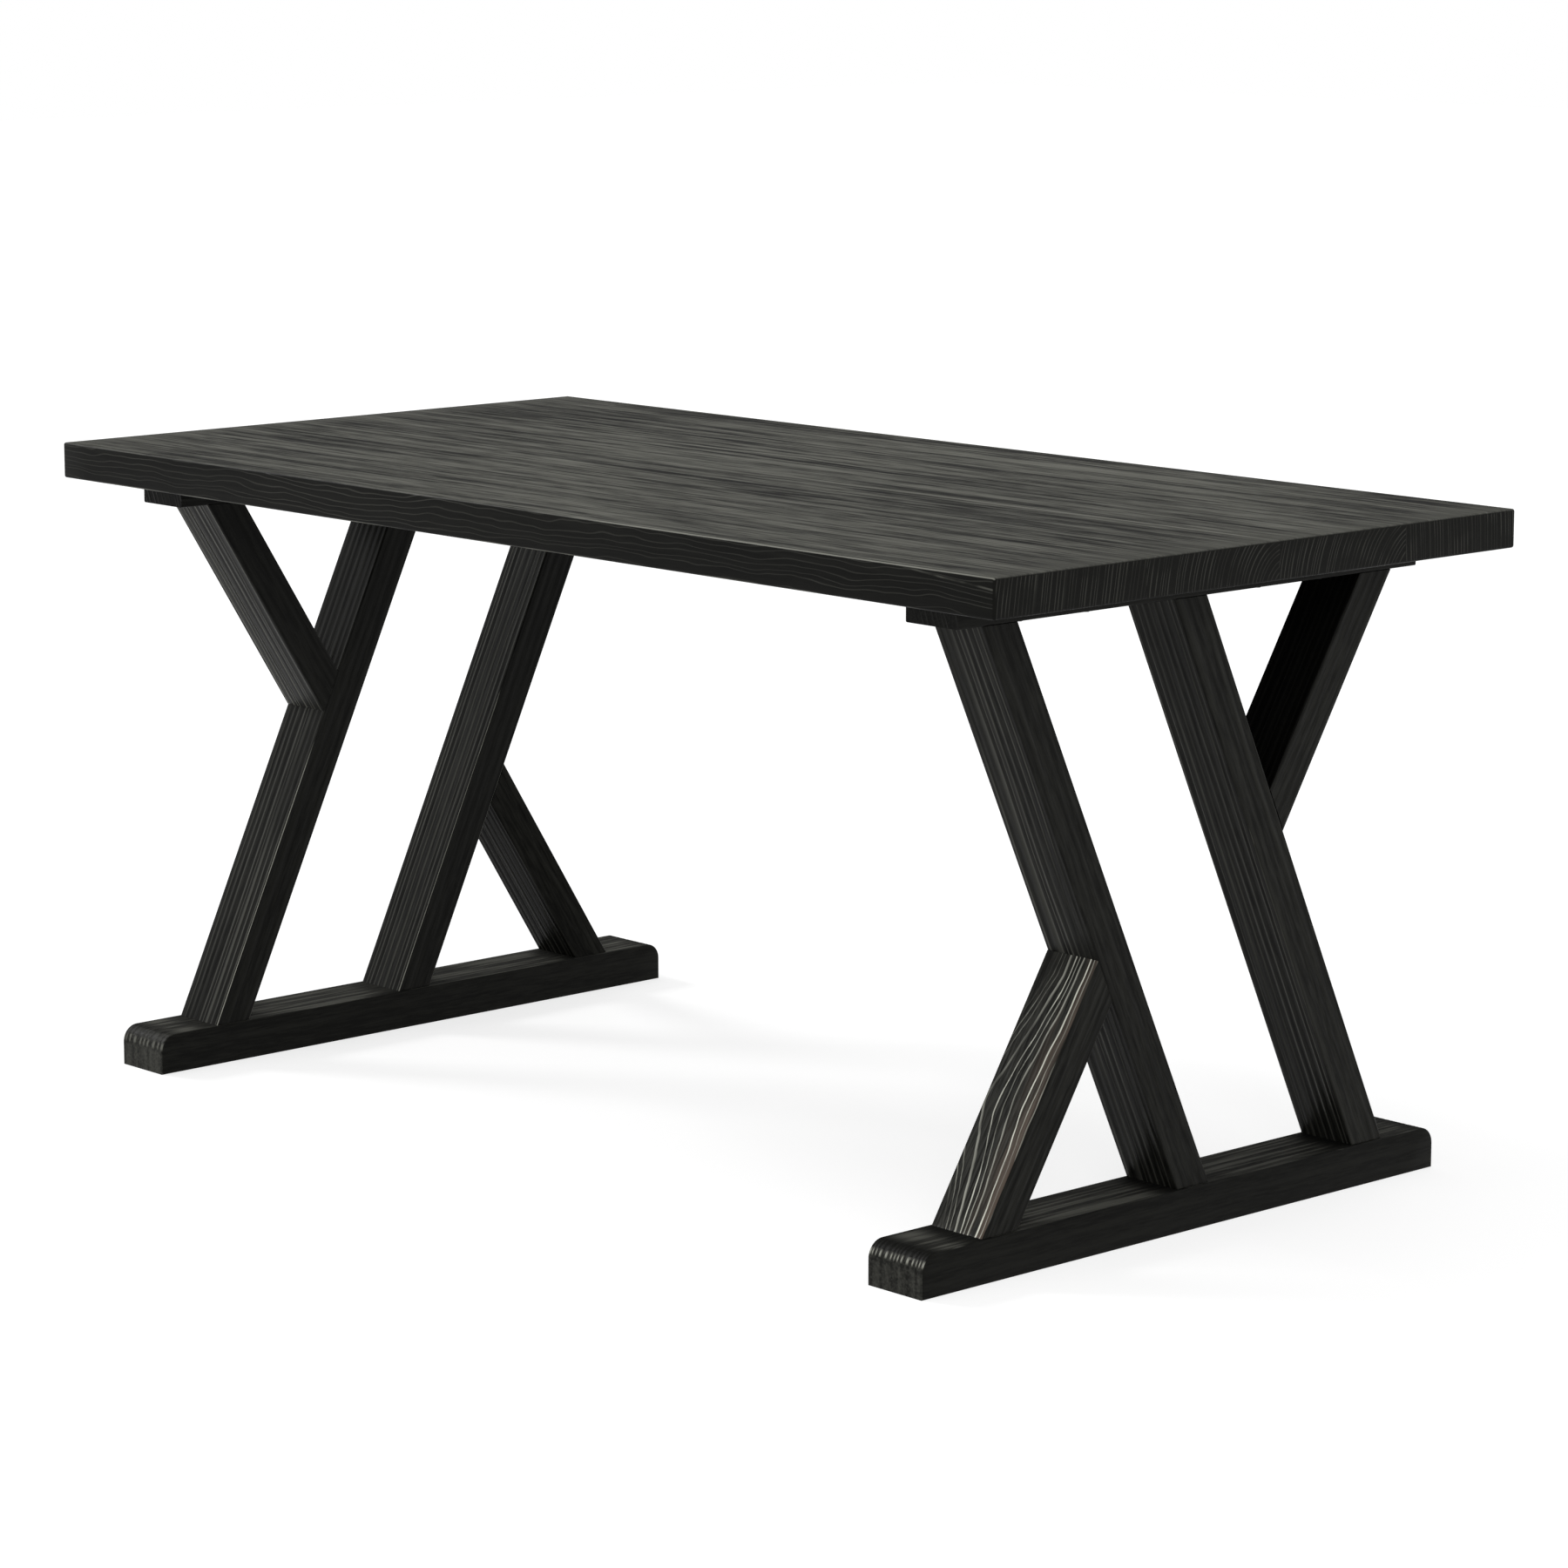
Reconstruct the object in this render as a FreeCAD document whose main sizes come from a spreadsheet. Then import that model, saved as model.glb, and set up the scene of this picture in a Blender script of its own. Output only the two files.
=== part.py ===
import FreeCAD, Part
import os

import Sketcher

# A farmhouse dining table: a slab of glued boards on two trestles with slanted legs.
# X runs along the table, Y from its front edge to its back edge, Z up from the floor.

# Driving sizes, in millimetres and degrees, one cell each.
SIZES = {
    "table_height": "757",
    "top_length": "1600",
    "top_thickness": "43",
    "top_edge_round": "3",
    "board_width": "200",
    "joint_offset": "18",
    "trestle_overhang": "137",
    "foot_width": "82",
    "foot_height": "48",
    "foot_toe_length": "84",
    "foot_toe_round": "20",
    "foot_edge_bevel": "2",
    "cleat_thickness": "25",
    "cleat_end_length": "36",
    "timber_width": "76",
    "timber_edge_round": "2",
    "leg_depth": "45.5",
    "leg_lean": "25",
    "leg_reach": "316",
    "brace_depth": "45",
    "brace_lean": "32",
    "brace_setback": "4",
    "tenon_width": "30",
    "tenon_shoulder": "7",
    "foot_mortise_floor": "16",
    "cleat_mortise_floor": "8",
    "joint_play": "0.1",
    "bore_relief": "2",
    "spline_width": "40",
    "spline_thickness": "10",
    "spline_stop": "60",
    "slip_tenon_width": "40",
    "slip_tenon_thickness": "12",
    "slip_tenon_length": "40",
    "bolt_diameter": "8",
    "bolt_head_width": "13",
    "bolt_head_height": "5",
    "bolt_grip": "11",
    "bolt_setback": "28",
    "bolt_play": "0.5",
    "slot_travel": "10",
    "washer_rim": "3.5",
    "washer_thickness": "1.6",
    "insert_wall": "2",
    "insert_length": "13",
}

BOARD_COUNT = 4
HEX_SIDES = 6

# Sizes that follow from the driving ones. Drops are measured down from the cleat's underside.
DERIVED = {
    "top_width": f"={BOARD_COUNT} * Sizes.board_width",
    "trestle_x": "=Sizes.top_length / 2 - Sizes.trestle_overhang",
    "top_under": "=Sizes.table_height - Sizes.top_thickness",
    "cleat_under": "=top_under - Sizes.cleat_thickness",
    "foot_half": "=Sizes.leg_reach + Sizes.foot_toe_length",
    "cleat_half": "=Sizes.leg_reach + Sizes.cleat_end_length",
    "foot_mortise": "=Sizes.foot_height - Sizes.foot_mortise_floor",
    "cleat_mortise": "=Sizes.cleat_thickness - Sizes.cleat_mortise_floor",
    "leg_seat": "=Sizes.leg_depth / cos(Sizes.leg_lean)",
    "leg_shift": "=(cleat_under - Sizes.foot_height) * tan(Sizes.leg_lean)",
    "brace_reach": "=Sizes.leg_reach - Sizes.brace_setback",
    "brace_seat": "=Sizes.brace_depth / cos(Sizes.brace_lean)",
    "brace_slope": "=tan(Sizes.brace_lean)",
    "meeting_slope": "=brace_slope + tan(Sizes.leg_lean)",
    "outer_drop": "=(leg_shift - Sizes.brace_setback) / meeting_slope",
    "inner_drop": "=outer_drop - brace_seat / meeting_slope",
    "outer_meeting": "=outer_drop * brace_slope - brace_reach",
    "inner_meeting": "=inner_drop * brace_slope + brace_seat - brace_reach",
    "joint_middle": "=(outer_meeting + inner_meeting) / 2",
    "joint_drop": "=(outer_drop + inner_drop) / 2",
    "slip_tenon_depth": "=Sizes.slip_tenon_length / 2 + Sizes.bore_relief",
    "spline_half": "=Sizes.top_length / 2 - Sizes.spline_stop",
    "spline_depth": "=Sizes.spline_width / 2 + Sizes.bore_relief",
    "bolt_outer": "=min(Sizes.leg_reach - leg_seat; brace_reach - brace_seat) - Sizes.bolt_setback",
    "leg_edge": "=max(leg_shift - Sizes.leg_reach + leg_seat; Sizes.leg_reach - leg_shift)",
    "bolt_inner": "=(bolt_outer + leg_edge) / 2",
    "bolt_radius": "=Sizes.bolt_diameter / 2",
    "bolt_head_radius": f"=Sizes.bolt_head_width / 2 / cos(180 / {HEX_SIDES})",
    "bolt_under": "=cleat_under - Sizes.washer_thickness",
    "bolt_length": "=Sizes.washer_thickness + Sizes.cleat_thickness + Sizes.bolt_grip",
    "slot_radius": "=bolt_radius + Sizes.bolt_play",
    "washer_radius": "=bolt_head_radius + Sizes.washer_rim",
    "insert_bore": "=bolt_radius + Sizes.joint_play",
    "insert_radius": "=insert_bore + Sizes.insert_wall",
    "insert_hole": "=insert_radius + Sizes.joint_play",
    "insert_depth": "=max(Sizes.insert_length; Sizes.bolt_grip) + Sizes.bore_relief",
}

# Where each timber stands on the foot and under the cleat of the left trestle: its start along Y and its
# length there. The toe leg rises from the foot's end to the cleat's middle, the mid leg from the foot's
# middle to the cleat's end.
FOOT_SEATS = {
    "toe_leg": ("-Sizes.leg_reach", "Derived.leg_seat"),
    "mid_leg": ("Sizes.leg_reach - Derived.leg_shift - Derived.leg_seat", "Derived.leg_seat"),
    "lower_brace": ("Derived.brace_reach - Derived.brace_seat", "Derived.brace_seat"),
}
CLEAT_SEATS = {
    "toe_leg": ("Derived.leg_shift - Sizes.leg_reach", "Derived.leg_seat"),
    "mid_leg": ("Sizes.leg_reach - Derived.leg_seat", "Derived.leg_seat"),
    "upper_brace": ("-Derived.brace_reach", "Derived.brace_seat"),
}

# The right trestle is the left one turned half round, so its toe leg stands at the rear.
TRESTLES = {
    "left": {"side": -1, "turn": 0, "toe_leg": "left_front_leg", "mid_leg": "left_rear_leg"},
    "right": {"side": 1, "turn": 180, "toe_leg": "right_rear_leg", "mid_leg": "right_front_leg"},
}

ALONG_X = FreeCAD.Vector(1, 0, 0)
ALONG_Y = FreeCAD.Vector(0, 1, 0)
ALONG_Z = FreeCAD.Vector(0, 0, 1)
NEAR = 0.01

# The rows of bolts across each cleat.
BOLT_ROWS = ("-Derived.bolt_outer", "-Derived.bolt_inner", "Derived.bolt_inner", "Derived.bolt_outer")

doc = FreeCAD.newDocument("FarmhouseTable")


def fill_sheet(name, cells):
    sheet = doc.addObject("Spreadsheet::Sheet", name)
    for row, (alias, content) in enumerate(cells.items(), 1):
        sheet.set(f"A{row}", alias)
        sheet.set(f"B{row}", content)
        sheet.setAlias(f"B{row}", alias)
    doc.recompute()
    return sheet


sizes = fill_sheet("Sizes", SIZES)
fill_sheet("Derived", DERIVED)


def value(expression):
    return float(sizes.evalExpression(expression))


def tilted(angle):
    return FreeCAD.Placement(FreeCAD.Vector(), FreeCAD.Rotation(ALONG_X, value(angle)))


def turned(y, z):
    """The place of a point after half a turn of the trestle in its own plane."""
    return f"-({y})", f"Derived.cleat_under + Sizes.foot_height - ({z})"


# Sketches and features

def add_body(label):
    body = doc.addObject("PartDesign::Body", label)
    body.Label = label
    return body


def stand_in_trestle(body, trestle):
    body.Placement = FreeCAD.Placement(FreeCAD.Vector(), FreeCAD.Rotation(ALONG_Z, trestle["turn"]))
    body.setExpression("Placement.Base.x", f"{trestle['side']} * Derived.trestle_x")


def add_sketch(body, name, role, lift="0"):
    sketch = body.newObject("Sketcher::SketchObject", name)
    plane = next(feature for feature in body.Origin.OriginFeatures if feature.Role == role)
    sketch.AttachmentSupport = [(plane, "")]
    sketch.MapMode = "FlatFace"
    sketch.setExpression("AttachmentOffset.Base.z", lift)
    return sketch


def place_point(sketch, geometry, point, x, y):
    for kind, expression in (("DistanceX", x), ("DistanceY", y)):
        constraint = Sketcher.Constraint(kind, -1, 1, geometry, point, value(expression))
        index = sketch.addConstraint(constraint)
        sketch.setExpression(f"Constraints[{index}]", expression)


def set_radius(sketch, geometry, radius):
    index = sketch.addConstraint(Sketcher.Constraint("Radius", geometry, value(radius)))
    sketch.setExpression(f"Constraints[{index}]", radius)


def draw_outline(sketch, corners):
    first = sketch.GeometryCount
    points = [FreeCAD.Vector(value(x), value(y), 0) for x, y in corners]
    for start, end in zip(points, points[1:] + points[:1]):
        sketch.addGeometry(Part.LineSegment(start, end), False)
    for index, (x, y) in enumerate(corners):
        following = (index + 1) % len(corners)
        sketch.addConstraint(Sketcher.Constraint("Coincident", first + index, 2, first + following, 1))
        place_point(sketch, first + index, 1, x, y)


def draw_rectangle(sketch, low_x, low_y, high_x, high_y):
    draw_outline(sketch, [(low_x, low_y), (high_x, low_y), (high_x, high_y), (low_x, high_y)])


def draw_circle(sketch, x, y, radius):
    centre = FreeCAD.Vector(value(x), value(y), 0)
    circle = sketch.addGeometry(Part.Circle(centre, ALONG_Z, value(radius)), False)
    place_point(sketch, circle, 3, x, y)
    set_radius(sketch, circle, radius)


def draw_slot(sketch, y, travel, radius):
    """A round-ended slot that runs along Y on the sketch's own Y axis."""
    ends = (f"{y} - ({travel}) / 2", f"{y} + ({travel}) / 2")
    width = FreeCAD.Vector(value(radius), 0, 0)
    low = FreeCAD.Vector(0, value(ends[0]), 0)
    high = FreeCAD.Vector(0, value(ends[1]), 0)
    below = FreeCAD.Vector(0, -value(radius), 0)
    low_arc = sketch.addGeometry(Part.Arc(low - width, low + below, low + width), False)
    high_arc = sketch.addGeometry(Part.Arc(high + width, high - below, high - width), False)
    right = sketch.addGeometry(Part.LineSegment(low + width, high + width), False)
    left = sketch.addGeometry(Part.LineSegment(high - width, low - width), False)
    for line, point, arc, arc_point in (
            (right, 1, low_arc, 2), (right, 2, high_arc, 1), (left, 1, high_arc, 2), (left, 2, low_arc, 1)):
        sketch.addConstraint(Sketcher.Constraint("Tangent", line, point, arc, arc_point))
    for arc, end in ((low_arc, ends[0]), (high_arc, ends[1])):
        place_point(sketch, arc, 3, "0", end)
        set_radius(sketch, arc, radius)


def pad(body, name, sketch, length, midplane=False, downwards=False):
    feature = body.newObject("PartDesign::Pad", name)
    feature.Profile = sketch
    feature.setExpression("Length", length)
    feature.SideType = "Symmetric" if midplane else "One side"
    feature.Reversed = downwards
    doc.recompute()
    return feature


def pocket(body, name, sketch, depth, along_normal=False):
    before = body.Shape.Volume
    feature = body.newObject("PartDesign::Pocket", name)
    feature.Profile = sketch
    feature.setExpression("Length", depth)
    feature.Reversed = along_normal
    doc.recompute()
    if body.Shape.Volume > before - NEAR:
        raise RuntimeError(f"{body.Label}: {name} cuts nothing")
    return feature


def ease_edges(body, name, kind, size, chosen):
    """Round or bevel the edges of the body's newest feature that the given test picks."""
    base = body.Tip
    edges = [f"Edge{index}" for index, edge in enumerate(base.Shape.Edges, 1) if chosen(edge)]
    feature = body.newObject(f"PartDesign::{kind}", name)
    feature.Base = (base, edges)
    feature.setExpression("Radius" if kind == "Fillet" else "Size", size)
    doc.recompute()
    return feature


def runs_along(edge, direction):
    if edge.Curve.TypeId != "Part::GeomLine":
        return False
    return abs(abs(edge.Curve.Direction.dot(direction)) - 1) < NEAR


def at(coordinate, expression):
    return abs(coordinate - value(expression)) < NEAR


# Tabletop

def joint_line(number):
    """The place along Y of the back edge of a top board, counted from the front, the widest one."""
    line = f"({number} - {BOARD_COUNT} / 2) * Sizes.board_width"
    return line if number in (0, BOARD_COUNT) else f"{line} + Sizes.joint_offset"


def groove_board_edge(body, name, joint, faces_back):
    """A stopped groove in a glued edge of the top, which a loose spline fills halfway."""
    sketch = add_sketch(body, f"{name}_outline", "XZ_Plane", f"-({joint})")
    end = "Derived.spline_half + Sizes.joint_play"
    half = "(Sizes.spline_thickness / 2 + Sizes.joint_play)"
    middle = "Sizes.top_thickness / 2"
    draw_rectangle(sketch, f"-({end})", f"{middle} - {half}", end, f"{middle} + {half}")
    pocket(body, name, sketch, "Derived.spline_depth", along_normal=faces_back)


def bolt_spots():
    """The X and Y expressions of every bolt that holds the top on the cleats."""
    for side in ("-1", "1"):
        for y in BOLT_ROWS:
            yield f"{side} * Derived.trestle_x", y


def make_top_board(number):
    body = add_body(f"top_board_{number}")
    body.setExpression("Placement.Base.z", "Derived.top_under")
    front = joint_line(number - 1)
    back = joint_line(number)
    outline = add_sketch(body, "outline", "XY_Plane")
    draw_rectangle(outline, "-Sizes.top_length / 2", front, "Sizes.top_length / 2", back)
    pad(body, "plank", outline, "Sizes.top_thickness")

    def is_outer(edge):
        middle = edge.CenterOfMass
        at_end = at(abs(middle.x), "Sizes.top_length / 2")
        at_side = at(abs(middle.y), "Derived.top_width / 2")
        return (at_end and runs_along(edge, ALONG_Y)) or at_side

    ease_edges(body, "softened_edges", "Fillet", "Sizes.top_edge_round", is_outer)
    if number > 1:
        groove_board_edge(body, "front_groove", front, False)
    if number < BOARD_COUNT:
        groove_board_edge(body, "back_groove", back, True)
    drill_insert_holes(body, front, back)
    return body


def drill_insert_holes(body, front, back):
    """Blind holes in the underside for the threaded inserts that lie between a board's two edges."""
    reach = value("Derived.insert_hole")
    own_spots = [
        (x, y) for x, y in bolt_spots() if value(front) - reach < value(y) < value(back) + reach]
    if own_spots:
        sketch = add_sketch(body, "insert_spots", "XY_Plane")
        for x, y in own_spots:
            draw_circle(sketch, x, y, "Derived.insert_hole")
        pocket(body, "insert_holes", sketch, "Derived.insert_depth", along_normal=True)


# Trestles

def cut_mortises(body, seats, lift, depth, upwards):
    sketch = add_sketch(body, "mortise_outlines", "XY_Plane", lift)
    half = "(Sizes.tenon_width / 2 + Sizes.joint_play)"
    inset = "(Sizes.tenon_shoulder - Sizes.joint_play)"
    for start, length in seats.values():
        draw_rectangle(sketch, f"-{half}", f"{start} + {inset}", half, f"{start} + {length} - {inset}")
    pocket(body, "mortises", sketch, depth, along_normal=upwards)


def add_tenon(body, name, seat, lift, mortise, downwards):
    start, width = seat
    sketch = add_sketch(body, f"{name}_outline", "XY_Plane", lift)
    draw_rectangle(
        sketch, "-Sizes.tenon_width / 2", f"{start} + Sizes.tenon_shoulder",
        "Sizes.tenon_width / 2", f"{start} + {width} - Sizes.tenon_shoulder")
    pad(body, name, sketch, f"{mortise} - Sizes.bore_relief", downwards=downwards)


def add_foot_tenon(body, role):
    add_tenon(body, "foot_tenon", FOOT_SEATS[role], "Sizes.foot_height", "Derived.foot_mortise", True)


def add_cleat_tenon(body, role):
    add_tenon(body, "cleat_tenon", CLEAT_SEATS[role], "Derived.cleat_under", "Derived.cleat_mortise", False)


def cut_slip_mortise(body, spot, into_leg_front):
    """A mortise square to the leg's slanted face, where a brace's bevelled end meets it."""
    y, z = spot
    sketch = add_sketch(body, "slip_mortise_outline", "XZ_Plane", f"-({y})")
    sketch.AttachmentOffset = tilted("-Sizes.leg_lean")
    sketch.setExpression("AttachmentOffset.Rotation.Angle", "-Sizes.leg_lean")
    sketch.setExpression("AttachmentOffset.Base.y", z)
    across = "(Sizes.slip_tenon_width / 2 + Sizes.joint_play)"
    along = "(Sizes.slip_tenon_thickness / 2 + Sizes.joint_play)"
    draw_rectangle(sketch, f"-{across}", f"-{along}", across, along)
    pocket(body, "slip_mortise", sketch, "Derived.slip_tenon_depth", along_normal=not into_leg_front)


def make_foot(side, trestle):
    body = add_body(f"{side}_foot")
    stand_in_trestle(body, trestle)
    profile = add_sketch(body, "profile", "YZ_Plane")
    draw_rectangle(profile, "-Derived.foot_half", "0", "Derived.foot_half", "Sizes.foot_height")
    pad(body, "beam", profile, "Sizes.foot_width", midplane=True)

    def is_toe(edge):
        middle = edge.CenterOfMass
        return runs_along(edge, ALONG_X) and at(middle.z, "Sizes.foot_height")

    def is_side_rim(edge):
        return at(abs(edge.CenterOfMass.x), "Sizes.foot_width / 2")

    ease_edges(body, "rounded_toes", "Fillet", "Sizes.foot_toe_round", is_toe)
    ease_edges(body, "eased_edges", "Chamfer", "Sizes.foot_edge_bevel", is_side_rim)
    cut_mortises(body, FOOT_SEATS, "Sizes.foot_height", "Derived.foot_mortise", False)
    return body


def make_cleat(side, trestle):
    body = add_body(f"{side}_cleat")
    stand_in_trestle(body, trestle)
    outline = add_sketch(body, "outline", "XY_Plane", "Derived.cleat_under")
    draw_rectangle(
        outline, "-Sizes.timber_width / 2", "-Derived.cleat_half",
        "Sizes.timber_width / 2", "Derived.cleat_half")
    pad(body, "batten", outline, "Sizes.cleat_thickness")

    def is_lower_arris(edge):
        return runs_along(edge, ALONG_Y) and at(edge.CenterOfMass.z, "Derived.cleat_under")

    ease_edges(body, "softened_edges", "Fillet", "Sizes.timber_edge_round", is_lower_arris)
    cut_mortises(body, CLEAT_SEATS, "Derived.cleat_under", "Derived.cleat_mortise", True)
    slots = add_sketch(body, "slot_outlines", "XY_Plane", "Derived.cleat_under")
    for y in BOLT_ROWS:
        draw_slot(slots, y, "Sizes.slot_travel", "Derived.slot_radius")
    pocket(body, "bolt_slots", slots, "Sizes.cleat_thickness", along_normal=True)
    return body


def soften_timber(body, lean):
    """Ease the long edges of a leg or brace that leans this far from upright, towards the rear."""
    grain = FreeCAD.Rotation(ALONG_X, -value(lean)).multVec(ALONG_Z)

    def is_long(edge):
        return runs_along(edge, grain)

    ease_edges(body, "softened_edges", "Fillet", "Sizes.timber_edge_round", is_long)


def make_leg(role, trestle):
    body = add_body(trestle[role])
    stand_in_trestle(body, trestle)
    foot_start, width = FOOT_SEATS[role]
    cleat_start = CLEAT_SEATS[role][0]
    profile = add_sketch(body, "profile", "YZ_Plane")
    draw_outline(profile, [
        (foot_start, "Sizes.foot_height"),
        (f"{foot_start} + {width}", "Sizes.foot_height"),
        (f"{cleat_start} + {width}", "Derived.cleat_under"),
        (cleat_start, "Derived.cleat_under"),
    ])
    pad(body, "timber", profile, "Sizes.timber_width", midplane=True)
    soften_timber(body, "Sizes.leg_lean")
    add_foot_tenon(body, role)
    add_cleat_tenon(body, role)
    cut_slip_mortise(body, joint_spot(role == "mid_leg"), role == "toe_leg")
    return body


def joint_spot(lower):
    """The middle of a brace's bevelled end in the left trestle: the upper brace's, or the lower one's."""
    y = "Derived.joint_middle"
    z = "Derived.cleat_under - Derived.joint_drop"
    return turned(y, z) if lower else (y, z)


def make_brace(side, trestle, lower):
    body = add_body(f"{side}_lower_brace" if lower else f"{side}_upper_brace")
    stand_in_trestle(body, trestle)
    corners = [
        ("-Derived.brace_reach", "Derived.cleat_under"),
        ("Derived.outer_meeting", "Derived.cleat_under - Derived.outer_drop"),
        ("Derived.inner_meeting", "Derived.cleat_under - Derived.inner_drop"),
        ("Derived.brace_seat - Derived.brace_reach", "Derived.cleat_under"),
    ]
    if lower:
        corners = [turned(y, z) for y, z in corners]
    profile = add_sketch(body, "profile", "YZ_Plane")
    draw_outline(profile, corners)
    pad(body, "timber", profile, "Sizes.timber_width", midplane=True)
    soften_timber(body, "-Sizes.brace_lean")
    if lower:
        add_foot_tenon(body, "lower_brace")
    else:
        add_cleat_tenon(body, "upper_brace")
    cut_slip_mortise(body, joint_spot(lower), lower)
    return body


# Loose tenons and fixings

def make_spline():
    body = add_body("spline")
    outline = add_sketch(body, "outline", "XY_Plane")
    draw_rectangle(
        outline, "-Derived.spline_half", "-Sizes.spline_width / 2",
        "Derived.spline_half", "Sizes.spline_width / 2")
    pad(body, "strip", outline, "Sizes.spline_thickness", midplane=True)
    return body


def make_slip_tenon():
    body = add_body("slip_tenon")
    outline = add_sketch(body, "outline", "XY_Plane")
    draw_rectangle(
        outline, "-Sizes.slip_tenon_width / 2", "-Sizes.slip_tenon_thickness / 2",
        "Sizes.slip_tenon_width / 2", "Sizes.slip_tenon_thickness / 2")
    pad(body, "block", outline, "Sizes.slip_tenon_length", midplane=True)
    return body


def make_bolt():
    """A hexagon-head bolt that points up from the plane under its head."""
    body = add_body("bolt")
    head_outline = add_sketch(body, "head_outline", "XY_Plane")
    bearings = [f"{index} * 360 / {HEX_SIDES}" for index in range(HEX_SIDES)]
    draw_outline(head_outline, [
        (f"Derived.bolt_head_radius * cos({bearing})", f"Derived.bolt_head_radius * sin({bearing})")
        for bearing in bearings])
    pad(body, "head", head_outline, "Sizes.bolt_head_height", downwards=True)
    shank_outline = add_sketch(body, "shank_outline", "XY_Plane")
    draw_circle(shank_outline, "0", "0", "Derived.bolt_radius")
    pad(body, "shank", shank_outline, "Derived.bolt_length")
    return body


def make_ring(label, outer, bore, thickness):
    body = add_body(label)
    outline = add_sketch(body, "outline", "XY_Plane")
    draw_circle(outline, "0", "0", outer)
    draw_circle(outline, "0", "0", bore)
    pad(body, "ring", outline, thickness)
    return body


def make_group(label, master, places):
    """Copies of one small piece, each at its own place: X, Y and Z, and its tilt about X."""
    copies = []
    for number, (x, y, z, tilt) in enumerate(places, 1):
        copy = doc.addObject("App::Link", f"{label}_{number}")
        copy.LinkedObject = master
        copy.Placement = tilted(tilt)
        for axis, expression in (("x", x), ("y", y), ("z", z)):
            copy.setExpression(f"Placement.Base.{axis}", expression)
        if value(tilt):
            copy.setExpression("Placement.Rotation.Angle", tilt)
        copies.append(copy)
    group = doc.addObject("Part::Compound", label)
    group.Label = label
    group.Links = copies
    return group


def spline_places():
    for number in range(1, BOARD_COUNT):
        yield "0", joint_line(number), "Derived.top_under + Sizes.top_thickness / 2", "0"


def slip_tenon_places():
    for trestle in TRESTLES.values():
        x = f"{trestle['side']} * Derived.trestle_x"
        hand = -trestle["side"]
        for lower in (False, True):
            y, z = joint_spot(lower)
            yield x, f"{hand} * ({y})", z, f"{hand} * (90 - Sizes.leg_lean)"


def bolt_places(z):
    return [(x, y, z, "0") for x, y in bolt_spots()]


def build_table():
    boards = [make_top_board(number) for number in range(1, BOARD_COUNT + 1)]
    trestles = []
    for side, trestle in TRESTLES.items():
        trestles += [make_foot(side, trestle), make_cleat(side, trestle)]
        trestles += [make_leg("toe_leg", trestle), make_leg("mid_leg", trestle)]
        trestles += [make_brace(side, trestle, False), make_brace(side, trestle, True)]
    spline = make_spline()
    slip_tenon = make_slip_tenon()
    bolt = make_bolt()
    washer = make_ring("washer", "Derived.washer_radius", "Derived.slot_radius", "Sizes.washer_thickness")
    insert = make_ring("insert", "Derived.insert_radius", "Derived.insert_bore", "Sizes.insert_length")
    fixings = [
        make_group("top_splines", spline, spline_places()),
        make_group("brace_slip_tenons", slip_tenon, slip_tenon_places()),
        make_group("top_bolts", bolt, bolt_places("Derived.bolt_under")),
        make_group("top_washers", washer, bolt_places("Derived.bolt_under")),
        make_group("top_inserts", insert, bolt_places("Derived.top_under")),
    ]
    return boards + trestles + fixings


def check_and_export(pieces):
    doc.recompute()
    for item in doc.Objects:
        if "Invalid" in item.State or "Error" in item.State:
            raise RuntimeError(f"{item.Label} failed: {item.State}")
    for piece in pieces:
        if piece.Shape.isNull() or not piece.Shape.isValid():
            raise RuntimeError(f"{piece.Label} has no valid shape")
    os.makedirs("parts", exist_ok=True)
    for piece in pieces:
        piece.Shape.exportStep(f"parts/{piece.Label}.step")


check_and_export(build_table())
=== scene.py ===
from math import cos, pi, radians, sin, sqrt

import bmesh
import bpy
from mathutils import Matrix, Vector


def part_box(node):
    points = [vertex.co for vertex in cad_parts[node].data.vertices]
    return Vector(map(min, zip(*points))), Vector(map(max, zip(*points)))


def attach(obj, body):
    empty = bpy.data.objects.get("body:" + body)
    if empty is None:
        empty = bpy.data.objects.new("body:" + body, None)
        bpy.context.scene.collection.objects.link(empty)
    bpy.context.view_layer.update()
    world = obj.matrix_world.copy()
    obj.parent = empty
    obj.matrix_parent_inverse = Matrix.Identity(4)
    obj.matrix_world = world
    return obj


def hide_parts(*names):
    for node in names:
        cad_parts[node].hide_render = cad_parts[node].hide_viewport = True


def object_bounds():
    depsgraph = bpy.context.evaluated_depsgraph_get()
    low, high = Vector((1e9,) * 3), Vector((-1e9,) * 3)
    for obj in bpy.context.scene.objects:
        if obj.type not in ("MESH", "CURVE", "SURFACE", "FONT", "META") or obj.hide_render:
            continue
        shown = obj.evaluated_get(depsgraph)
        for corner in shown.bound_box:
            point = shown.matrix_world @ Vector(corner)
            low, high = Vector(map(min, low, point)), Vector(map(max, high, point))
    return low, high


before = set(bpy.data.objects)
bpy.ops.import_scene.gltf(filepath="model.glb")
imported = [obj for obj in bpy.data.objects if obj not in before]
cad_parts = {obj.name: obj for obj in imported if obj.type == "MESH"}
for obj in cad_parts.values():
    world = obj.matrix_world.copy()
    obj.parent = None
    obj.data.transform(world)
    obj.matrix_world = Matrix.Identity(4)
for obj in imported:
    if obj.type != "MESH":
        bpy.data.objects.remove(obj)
cad_box = [list(corner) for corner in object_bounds()]


# Feet
# One floor beam under each trestle, sawn from pine, with both upper ends rounded over.
# The wood is wire-brushed along the grain and stained black, so low ridges run the length of
# the beam and over its toes. The legs are tenoned into its top.

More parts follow.
